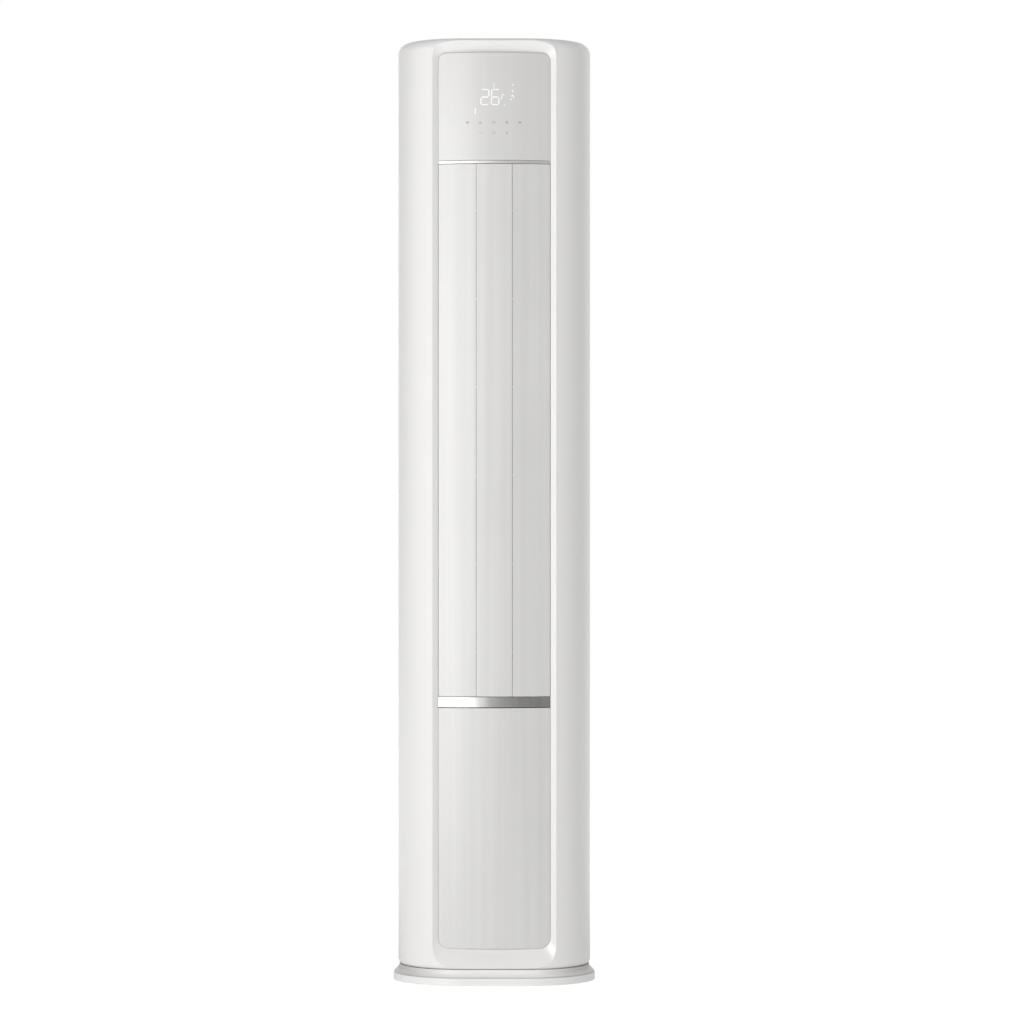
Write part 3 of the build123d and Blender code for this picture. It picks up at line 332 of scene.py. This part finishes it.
def makeMaterial(name, effect, colour, metallic, roughness, coat, *values):
    material = bpy.data.materials.new(name)
    tree = emptyTree(material)
    node = tree.nodes.new("ShaderNodeGroup")
    node.node_tree = effects[effect]
    node.inputs["Color"].default_value = (*colour, 1)
    node.inputs["Roughness"].default_value = roughness
    for label, value in zip(ownValues[effect], values):
        node.inputs[label].default_value = value
    surface = newNode(tree, "ShaderNodeBsdfPrincipled", Metallic=metallic, Coat_Weight=coat,
                      Coat_Roughness=effectRule["coatRoughness"], Base_Color=node.outputs["Color"],
                      Roughness=node.outputs["Roughness"], Normal=node.outputs["Normal"])
    putSurface(tree, surface)
    return material


def makeMarkMaterial(name, colour, glow):
    material = bpy.data.materials.new(name)
    material.use_nodes = True
    surface = material.node_tree.nodes["Principled BSDF"]
    surface.inputs["Base Color"].default_value = (*colour, 1)
    surface.inputs["Roughness"].default_value = effectRule["markRoughness"]
    surface.inputs["Emission Color"].default_value = (*colour, 1)
    surface.inputs["Emission Strength"].default_value = glow
    return material


materials = {slot: makeMaterial(slot, *finish) for slot, finish in finishes.items()}
litWhite = makeMarkMaterial("litSegments", (0.95, 0.95, 0.94), 0.16)
printGrey = makeMarkMaterial("printedMarks", (0.47, 0.465, 0.45), 0.0)
print("finishes:", len(materials))

# metres and degrees: how far doubled points lie apart, and what still counts as flat or as round
shading = {"merge": 0.00002, "flat": 0.25, "round": 28.0, "slabRound": 40.0}


def smoothMesh(mesh, angle):
    mesh.shade_smooth()
    mesh.set_sharp_from_angle(angle=math.radians(angle))


def applied(obj):
    bpy.context.view_layer.update()
    depsgraph = bpy.context.evaluated_depsgraph_get()
    mesh = bpy.data.meshes.new_from_object(obj.evaluated_get(depsgraph), depsgraph=depsgraph)
    obj.modifiers.clear()
    obj.data = mesh
    return obj


# round faces shaded smooth, flat ones kept flat, and the sharp edges eased
def dressed(obj, angle, edge, segments=2):
    smoothMesh(obj.data, angle)
    if edge:
        bevel = obj.modifiers.new("edge", "BEVEL")
        bevel.width, bevel.segments = edge, segments
        bevel.limit_method, bevel.angle_limit = "ANGLE", math.radians(angle)
    obj.modifiers.new("flatFaces", "WEIGHTED_NORMAL").keep_sharp = True
    return applied(obj)


# the nodes that a piece of this scene stands in for
rebuilt = set()


def settle(obj, node, material=None):
    obj.data.materials.clear()
    obj.data.materials.append(material or materials[slotOf[node]])
    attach(obj, bodyOf[node])


def standIn(obj, node, material=None):
    settle(obj, node, material)
    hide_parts(node)
    rebuilt.add(node)


# a CAD node's triangles, joined to the faces they make up
def joinedFaces(node):
    work = bmesh.new()
    work.from_mesh(frame["nodes"][node].data)
    bmesh.ops.remove_doubles(work, verts=work.verts, dist=shading["merge"])
    bmesh.ops.dissolve_limit(work, angle_limit=math.radians(shading["flat"]), verts=work.verts,
                             edges=work.edges)
    return work


def objectFrom(work, name):
    mesh = bpy.data.meshes.new(name)
    work.to_mesh(mesh)
    work.free()
    return place(bpy.data.objects.new(name, mesh))


# a Geometry Nodes tree with named inputs, where a whole number makes a whole-number input
def startTree(name, inputs, takesMesh=True):
    tree = bpy.data.node_groups.new(name, "GeometryNodeTree")
    tree.interface.new_socket("Geometry", in_out="OUTPUT", socket_type="NodeSocketGeometry")
    if takesMesh:
        tree.interface.new_socket("Geometry", in_out="INPUT", socket_type="NodeSocketGeometry")
    for label, value in inputs.items():
        kind = "NodeSocketInt" if isinstance(value, int) else numberSocket
        tree.interface.new_socket(label, in_out="INPUT", socket_type=kind).default_value = value
    tree.interface.new_socket("Material", in_out="INPUT", socket_type="NodeSocketMaterial")
    return tree, tree.nodes.new("NodeGroupInput").outputs


def endTree(tree, given, geometry):
    real = newNode(tree, "GeometryNodeRealizeInstances", Geometry=geometry)
    painted = newNode(tree, "GeometryNodeSetMaterial", Geometry=real.outputs[0], Material=given["Material"])
    tree.links.new(painted.outputs[0], tree.nodes.new("NodeGroupOutput").inputs[0])
    return tree


def grown(name, mesh, tree, node, values):
    obj = place(bpy.data.objects.new(name, mesh))
    modifier = obj.modifiers.new(tree.name, "NODES")
    modifier.node_group = tree
    values = {**values, "Material": materials[slotOf[node]]}
    for item in tree.interface.items_tree:
        if item.in_out == "INPUT" and item.name in values:
            modifier[item.identifier] = values[item.name]
    return applied(obj)


# the bow that all the front pieces share: an arc over half the mouth's width, with its rise
bow = {"half": 0.1043, "rise": 0.014, "front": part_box("chrome_band")[0].y}
bow["radius"] = (bow["half"] ** 2 + bow["rise"] ** 2) / (2 * bow["rise"])
bow["centre"] = bow["front"] + bow["radius"]


def bowAngle(x):
    return math.asin(x / bow["radius"])


def bowY(x, proud=0.0):
    return bow["centre"] - math.sqrt((bow["radius"] + proud) ** 2 - x * x)


# one rule bends a slab to the bow, rounds its corners and cuts fine flutes in its front
slabInputs = {
    "Left": -0.1035, "Right": 0.1035, "Low": 0.0, "High": 1.0, "Low Radius": 0.0, "High Radius": 0.0,
    "Edge Depth": 0.003, "Middle Depth": 0.017, "Flute Pitch": 0.003, "Flute Depth": 0.0001, "Columns": 100,
}


def makeSlabTree():
    tree, given = startTree("bowedSlab", slabInputs, takesMesh=False)

    def do(operation, *values):
        return calc(tree, operation, *values)

    def mix(a, b, share):
        return do("ADD", a, do("MULTIPLY", do("SUBTRACT", b, a), share))

    cube = newNode(tree, "GeometryNodeMeshCube", Vertices_X=given["Columns"], Vertices_Y=2, Vertices_Z=2)
    here = tree.nodes.new("GeometryNodeInputPosition")
    split = newNode(tree, "ShaderNodeSeparateXYZ", Vector=here.outputs[0])
    across, inward, upward = (do("ADD", split.outputs[axis], 0.5) for axis in "XYZ")
    x = mix(given["Left"], given["Right"], across)

    # flutes on the front, and a back that is deeper in the middle than at the edges
    wave = do("ABSOLUTE", do("SINE", do("MULTIPLY", do("DIVIDE", x, given["Flute Pitch"]), math.pi)))
    groove = do("MULTIPLY", do("POWER", do("SUBTRACT", 1.0, wave), 2.0), given["Flute Depth"])
    aside = do("SUBTRACT", do("MULTIPLY", across, 2.0), 1.0)
    crown = do("SUBTRACT", 1.0, do("MULTIPLY", aside, aside))
    thick = mix(given["Edge Depth"], given["Middle Depth"], crown)
    reach = do("SUBTRACT", bow["radius"], mix(groove, thick, inward))

    # how far a rounded corner draws the end in at this x
    def cornerRise(radius):
        flat = do("SUBTRACT", given["Right"], radius)
        into = do("MAXIMUM", do("SUBTRACT", do("ABSOLUTE", x), flat), 0.0)
        into = do("MINIMUM", into, radius)
        square = do("SUBTRACT", do("MULTIPLY", radius, radius), do("MULTIPLY", into, into))
        return do("SUBTRACT", radius, do("SQRT", do("MAXIMUM", square, 0.0)))

    low = do("ADD", given["Low"], cornerRise(given["Low Radius"]))
    high = do("SUBTRACT", given["High"], cornerRise(given["High Radius"]))
    turn = do("ARCSINE", do("DIVIDE", x, bow["radius"]))
    bent = newNode(tree, "ShaderNodeCombineXYZ",
                   X=do("MULTIPLY", reach, do("SINE", turn)),
                   Y=do("SUBTRACT", bow["centre"], do("MULTIPLY", reach, do("COSINE", turn))),
                   Z=mix(low, high, upward))
    moved = newNode(tree, "GeometryNodeSetPosition", Geometry=cube.outputs["Mesh"], Position=bent.outputs[0])
    return endTree(tree, given, moved.outputs[0])


slabTree = makeSlabTree()


def bowedSlab(name, node, values, edge=0.0005, pins=()):
    obj = grown(name, bpy.data.meshes.new(name), slabTree, node, values)
    work = bmesh.new()
    work.from_mesh(obj.data)
    for pin in pins:
        addPin(work, *pin)
    work.to_mesh(obj.data)
    work.free()
    return dressed(obj, shading["slabRound"], edge)


def addPin(work, x, y, low, high, radius, sides=24):
    angles = [2 * math.pi * i / sides for i in range(sides)]
    foot, head = ([work.verts.new((x + radius * math.cos(a), y + radius * math.sin(a), z)) for a in angles]
                  for z in (low, high))
    work.faces.new(foot[::-1])
    work.faces.new(head)
    for i in range(sides):
        j = (i + 1) % sides
        work.faces.new((foot[i], foot[j], head[j], head[i]))


panel = {"flutePitch": 0.0036, "fluteDepth": 0.00022, "columnsPerFlute": 6, "edgeDepth": 0.0030,
         "middleDepth": 0.0170, "lowRadius": 0.0192, "highRadius": 0.0142, "spread": 0.0004}
strip = {"depth": 0.0018, "columns": 100, "edge": 0.0003, "bandGap": 0.0007}


def spanOf(node):
    low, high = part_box(node)
    gap = strip["bandGap"] if node == "chrome_band" else 0
    return {"Left": low.x - panel["spread"], "Right": high.x + panel["spread"], "Low": low.z + gap,
            "High": high.z}


def columnsFor(left, right):
    return int((right - left) / panel["flutePitch"] * panel["columnsPerFlute"]) + 1


def makePanel(node, fluteDepth, lowRadius, highRadius):
    span = spanOf(node)
    standIn(bowedSlab(node + "_skin", node, {
        **span, "Low Radius": lowRadius, "High Radius": highRadius, "Edge Depth": panel["edgeDepth"],
        "Middle Depth": panel["middleDepth"], "Flute Pitch": panel["flutePitch"], "Flute Depth": fluteDepth,
        "Columns": columnsFor(span["Left"], span["Right"])}), node)


def makeStrip(node):
    standIn(bowedSlab(node + "_strip", node, {
        **spanOf(node), "Edge Depth": strip["depth"], "Middle Depth": strip["depth"], "Flute Depth": 0.0,
        "Columns": strip["columns"]}, edge=strip["edge"]), node)


makePanel("lower_panel", panel["fluteDepth"], panel["lowRadius"], 0.0)
makePanel("display_window", 0.0, 0.0, panel["highRadius"])
makeStrip("chrome_band")
makeStrip("trim_strip")
print("front panels are made")

vane = {"seamHalf": 0.0335, "gap": 0.0006, "edgeDepth": 0.0035, "middleDepth": 0.012, "pinRadius": 0.002,
        "pinSink": 0.001, "pivotDepth": 0.0065, "lowGap": 0.0008, "highGap": 0.0007, "edge": 0.0014}


# a fluted blade between the bright band and the trim line, with a pin at each end of its pivot
def makeVane(name, left, right):
    node = "vane_" + name
    low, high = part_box(node)
    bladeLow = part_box("chrome_band")[1].z + vane["lowGap"]
    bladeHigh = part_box("trim_strip")[0].z - vane["highGap"]
    middle = (bowAngle(left) + bowAngle(right)) / 2
    reach = bow["radius"] - vane["pivotDepth"]
    x, y = reach * math.sin(middle), bow["centre"] - reach * math.cos(middle)
    standIn(bowedSlab(node + "_blade", node, {
        "Left": left, "Right": right, "Low": bladeLow, "High": bladeHigh, "Edge Depth": vane["edgeDepth"],
        "Middle Depth": vane["middleDepth"], "Flute Pitch": panel["flutePitch"],
        "Flute Depth": panel["fluteDepth"], "Columns": columnsFor(left, right)}, edge=vane["edge"], pins=(
            (x, y, low.z, bladeLow + vane["pinSink"], vane["pinRadius"]),
            (x, y, bladeHigh - vane["pinSink"], high.z, vane["pinRadius"]))), node)


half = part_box("chrome_band")[1].x + panel["spread"] / 2
seam, seamGap = vane["seamHalf"], vane["gap"] / 2
makeVane("left", -half, -seam - seamGap)
makeVane("center", -seam + seamGap, seam - seamGap)
makeVane("right", seam + seamGap, half)
print("vanes are made")

# display marks: lit segments and signs, and grey printed touch signs, all flat on the window
display = {
    "digitHeight": 0.030, "digitWidth": 0.016, "stroke": 0.0021, "slant": 0.0012, "digitLow": 1.6298,
    "firstDigit": -0.0253, "secondDigit": -0.0061, "segmentGap": 0.35, "proud": 0.00006, "sink": 0.0004,
}
segmentLines = {
    "a": ((0, 1), (1, 1)), "b": ((1, 1), (1, 0.5)), "c": ((1, 0.5), (1, 0)), "d": ((0, 0), (1, 0)),
    "e": ((0, 0.5), (0, 0)), "f": ((0, 1), (0, 0.5)), "g": ((0, 0.5), (1, 0.5)),
}
# from (x, z) to (x, z), width
litStrokes = (
    ((0.0137, 1.6405), (0.0142, 1.6490), 0.0014), ((0.0142, 1.6492), (0.0190, 1.6492), 0.0014),
    ((0.0331, 1.6496), (0.0372, 1.6424), 0.0015), ((0.0331, 1.6496), (0.0315, 1.6450), 0.0011),
    ((-0.0353, 1.6130), (-0.0353, 1.6244), 0.0013), ((-0.0006, 1.6610), (-0.0006, 1.6705), 0.0010),
)
# x, z, radius
litDots = (
    (0.0187, 1.6299, 0.0011), (0.0342, 1.6677, 0.0016), (0.0342, 1.6560, 0.0018), (0.0307, 1.6407, 0.0015),
)


# a flat outline (x, z) laid on the bowed front, a hair proud of it and sunk a little into it
def layOutline(work, points):
    if sum(a[0] * b[1] - b[0] * a[1] for a, b in zip(points, points[1:] + points[:1])) < 0:
        points = points[::-1]
    front = [work.verts.new((x, bowY(x, display["proud"]), z)) for x, z in points]
    back = [work.verts.new((x, bowY(x) + display["sink"], z)) for x, z in points]
    work.faces.new(front)
    work.faces.new(back[::-1])
    for i in range(len(points)):
        j = (i + 1) % len(points)
        work.faces.new((front[j], front[i], back[i], back[j]))


# a stroke with pointed ends, whose points are a share of its width long
def layStroke(work, a, b, width, point=0.5):
    a, b = Vector(a), Vector(b)
    along = (b - a).normalized()
    side = Vector((-along.y, along.x)) * width / 2
    nose = along * width * point
    corners = (a, a + nose + side, b - nose + side, b, b - nose - side, a + nose - side)
    layOutline(work, [tuple(corner) for corner in corners])


def layDigit(work, left, segments):
    inset = display["stroke"] / 2
    wide, tall = display["digitWidth"] - 2 * inset, display["digitHeight"] - 2 * inset
    for key in segments:
        a, b = (Vector((left + inset + u * wide + display["slant"] * (v - 0.5),
                        display["digitLow"] + inset + v * tall)) for u, v in segmentLines[key])
        along = (b - a).normalized() * display["stroke"] * display["segmentGap"]
        layStroke(work, a + along, b - along, display["stroke"])


def layBox(work, x, z, half):
    layOutline(work, [(x - half, z - half), (x + half, z - half), (x + half, z + half), (x - half, z + half)])


def layDisc(work, x, z, outer, inner=0.0, sides=20):
    ring = [(math.cos(2 * math.pi * i / sides), math.sin(2 * math.pi * i / sides)) for i in range(sides)]
    if not inner:
        layOutline(work, [(x + outer * c, z + outer * s) for c, s in ring])
        return
    for (c0, s0), (c1, s1) in zip(ring, ring[1:] + ring[:1]):
        layOutline(work, [(x + inner * c0, z + inner * s0), (x + outer * c0, z + outer * s0),
                          (x + outer * c1, z + outer * s1), (x + inner * c1, z + inner * s1)])


def makeLitMarks():
    work = bmesh.new()
    layDigit(work, display["firstDigit"], "abged")
    layDigit(work, display["secondDigit"], "afgedc")
    for start, end, width in litStrokes:
        layStroke(work, start, end, width)
    for x, z, radius in litDots:
        layDisc(work, x, z, radius)
    settle(objectFrom(work, "lit_marks"), "display_window", litWhite)


touch = {"first": -0.0496, "pitch": 0.02426, "rowHigh": 1.5980, "rowLow": 1.5786, "wide": 0.0074,
         "tall": 0.0044, "arrowStroke": 0.0016, "pillPoint": 0.6, "lineStroke": 0.0008, "ringOuter": 0.0030,
         "ringInner": 0.0023, "crossStroke": 0.0010}


def makeTouchMarks():
    work = bmesh.new()
    z, wide, tall = touch["rowHigh"], touch["wide"] / 2, touch["tall"] / 2
    cup, wedge, arrow, square, pill = (touch["first"] + touch["pitch"] * i for i in range(5))
    layOutline(work, [(cup - wide, z + tall), (cup - wide / 2, z - tall), (cup + wide / 2, z - tall),
                      (cup + wide, z + tall)])
    layOutline(work, [(wedge - wide, z - tall), (wedge + wide, z - tall), (wedge - wide / 3, z + tall)])
    layStroke(work, (arrow - wide, z - tall), (arrow, z + tall), touch["arrowStroke"])
    layStroke(work, (arrow, z + tall), (arrow + wide, z - tall), touch["arrowStroke"])
    layBox(work, square, z, tall)
    layStroke(work, (pill - wide, z), (pill + wide, z), touch["tall"], touch["pillPoint"])
    z = touch["rowLow"]
    layStroke(work, (wedge - wide, z), (wedge + wide, z), touch["lineStroke"])
    layDisc(work, arrow, z, touch["ringOuter"], touch["ringInner"])
    layStroke(work, (square - tall, z - tall), (square + tall, z + tall), touch["crossStroke"])
    layStroke(work, (square - tall, z + tall), (square + tall, z - tall), touch["crossStroke"])
    settle(objectFrom(work, "touch_marks"), "display_window", printGrey)


makeLitMarks()
makeTouchMarks()
print("display marks are made")

# case screws: flanged hex heads with a dished top, turned each its own way
screw = {"Washer Radius": 0.0042, "Washer Height": 0.0007, "Head Radius": 0.0036, "Head Height": 0.0015,
         "Dish Depth": 0.0005, "Dish Share": 0.62, "Shank Radius": 0.002, "Shank Length": 0.010, "Turn": 0.73}
screwSides = {"shank": 16, "washer": 28, "head": 6}
seatReach = 0.01  # points nearer than this across the back belong to one screw


def makeScrewTree():
    tree, given = startTree("screwHeads", screw)

    def drum(sides, radius, low, height):
        body = newNode(tree, "GeometryNodeMeshCylinder", Vertices=sides, Radius=radius, Depth=height)
        lift = newNode(tree, "ShaderNodeCombineXYZ", Z=calc(tree, "MULTIPLY_ADD", height, 0.5, low))
        return newNode(tree, "GeometryNodeTransform", Geometry=body.outputs["Mesh"],
                       Translation=lift.outputs[0]).outputs[0]

    under = calc(tree, "MULTIPLY", given["Shank Length"], -1.0)
    shank = drum(screwSides["shank"], given["Shank Radius"], under, given["Shank Length"])
    flange = drum(screwSides["washer"], given["Washer Radius"], 0.0, given["Washer Height"])
    head = drum(screwSides["head"], given["Head Radius"], given["Washer Height"], given["Head Height"])
    normal = tree.nodes.new("GeometryNodeInputNormal").outputs[0]
    facing = newNode(tree, "ShaderNodeSeparateXYZ", Vector=normal)
    rim = newNode(tree, "GeometryNodeExtrudeMesh", Mesh=head, Offset_Scale=0.0,
                  Selection=calc(tree, "GREATER_THAN", facing.outputs["Z"], 0.9))
    inner = newNode(tree, "GeometryNodeScaleElements", Geometry=rim.outputs["Mesh"],
                    Selection=rim.outputs["Top"], Scale=given["Dish Share"])
    dish = newNode(tree, "GeometryNodeExtrudeMesh", Mesh=inner.outputs[0], Selection=rim.outputs["Top"],
                   Offset_Scale=calc(tree, "MULTIPLY", given["Dish Depth"], -1.0))
    whole = tree.nodes.new("GeometryNodeJoinGeometry")
    for piece in (shank, flange, dish.outputs["Mesh"]):
        tree.links.new(piece, whole.inputs[0])
    spin = calc(tree, "MULTIPLY", tree.nodes.new("GeometryNodeInputIndex").outputs[0], given["Turn"])
    aim = newNode(tree, "ShaderNodeCombineXYZ", X=-math.pi / 2, Y=spin)
    copies = newNode(tree, "GeometryNodeInstanceOnPoints", Points=given["Geometry"],
                     Instance=whole.outputs[0], Rotation=aim.outputs[0])
    return endTree(tree, given, copies.outputs[0])


# where the washers rest: the middle of each solid screw, at the depth of its washer's underside
def screwSeats(node):
    clusters = []
    for vertex in frame["nodes"][node].data.vertices:
        near = [points for points in clusters if (points[0].xz - vertex.co.xz).length < seatReach]
        if near:
            near[0].append(vertex.co.copy())
        else:
            clusters.append([vertex.co.copy()])
    seats = []
    for points in clusters:
        x, z = ((min(p[axis] for p in points) + max(p[axis] for p in points)) / 2 for axis in (0, 2))
        seats.append((x, max(p.y for p in points) - screw["Washer Height"] - screw["Head Height"], z))
    return seats


def makeScrews(node):
    mesh = bpy.data.meshes.new("screw_seats")
    mesh.from_pydata(screwSeats(node), [], [])
    piece = grown("hex_screws", mesh, makeScrewTree(), node, screw)
    smoothMesh(piece.data, shading["round"])
    standIn(piece, node)
    return len(mesh.vertices)


print("screws are made:", makeScrews("case_screws"))

# coil fins: one foil plate of the coil's plan, repeated up its height
fin = {"pitch": 0.0022, "foil": 0.0004, "arcTurn": 0.3}


# the outline of the solid's top face, with every other point left out of its round corners
def finOutline(node):
    work = joinedFaces(node)
    work.normal_update()
    top = max((face for face in work.faces if face.normal.z > 0.99), key=lambda face: face.calc_area())
    corners = [vertex.co.xy.copy() for vertex in top.verts]
    work.free()
    outline, dropped = [], False
    for i, corner in enumerate(corners):
        turn = (corner - corners[i - 1]).angle(corners[(i + 1) % len(corners)] - corner)
        dropped = turn < fin["arcTurn"] and not dropped
        if not dropped:
            outline.append(tuple(corner))
    return outline


def makeFinTree():
    tree, given = startTree("finStack", {"Count": 10, "Pitch": fin["pitch"]})
    step = newNode(tree, "ShaderNodeCombineXYZ", Z=given["Pitch"])
    line = newNode(tree, "GeometryNodeMeshLine", Count=given["Count"], Offset=step.outputs[0])
    copies = newNode(tree, "GeometryNodeInstanceOnPoints", Points=line.outputs[0],
                     Instance=given["Geometry"])
    return endTree(tree, given, copies.outputs[0])


def makeFins(node):
    low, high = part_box(node)
    outline = finOutline(node)
    count = int((high.z - low.z - fin["foil"]) / fin["pitch"]) + 1
    first = (low.z + high.z - (count - 1) * fin["pitch"] - fin["foil"]) / 2
    sides = len(outline)
    points = [(x, y, first + rise) for rise in (0, fin["foil"]) for x, y in outline]
    faces = [tuple(range(sides))[::-1], tuple(range(sides, 2 * sides))]
    faces += [(i, (i + 1) % sides, sides + (i + 1) % sides, sides + i) for i in range(sides)]
    mesh = bpy.data.meshes.new("foil_plate")
    mesh.from_pydata(points, [], faces)
    standIn(grown("coil_fins", mesh, makeFinTree(), node, {"Count": count, "Pitch": fin["pitch"]}), node)
    return count


print("coil fins are made:", makeFins("evaporator_fins"))

# every other node keeps its CAD form; here are the width and segments of the edges that are eased
easedEdges = {"front_frame": (0.0045, 5), "base_foot": (0.0008, 2), "base_plinth": (0.0006, 2),
              "top_cover": (0.0006, 2), "rear_shell": (0.0006, 2)}
# a back without gloss, and painted shade on the neck over the foot, where the column's overhang shades it
ownFinish = {"rear_shell": "shell_matt", "base_plinth": "neck_painted_shade"}


def smoothCopy(node):
    edge, segments = easedEdges.get(node, (0.0, 0))
    piece = dressed(objectFrom(joinedFaces(node), node + "_smooth"), shading["round"], edge, segments)
    standIn(piece, node, materials.get(ownFinish.get(node)))


others = [node for node in frame["nodes"] if node not in rebuilt]
for node in others:
    smoothCopy(node)
print("smoothed nodes:", len(others))
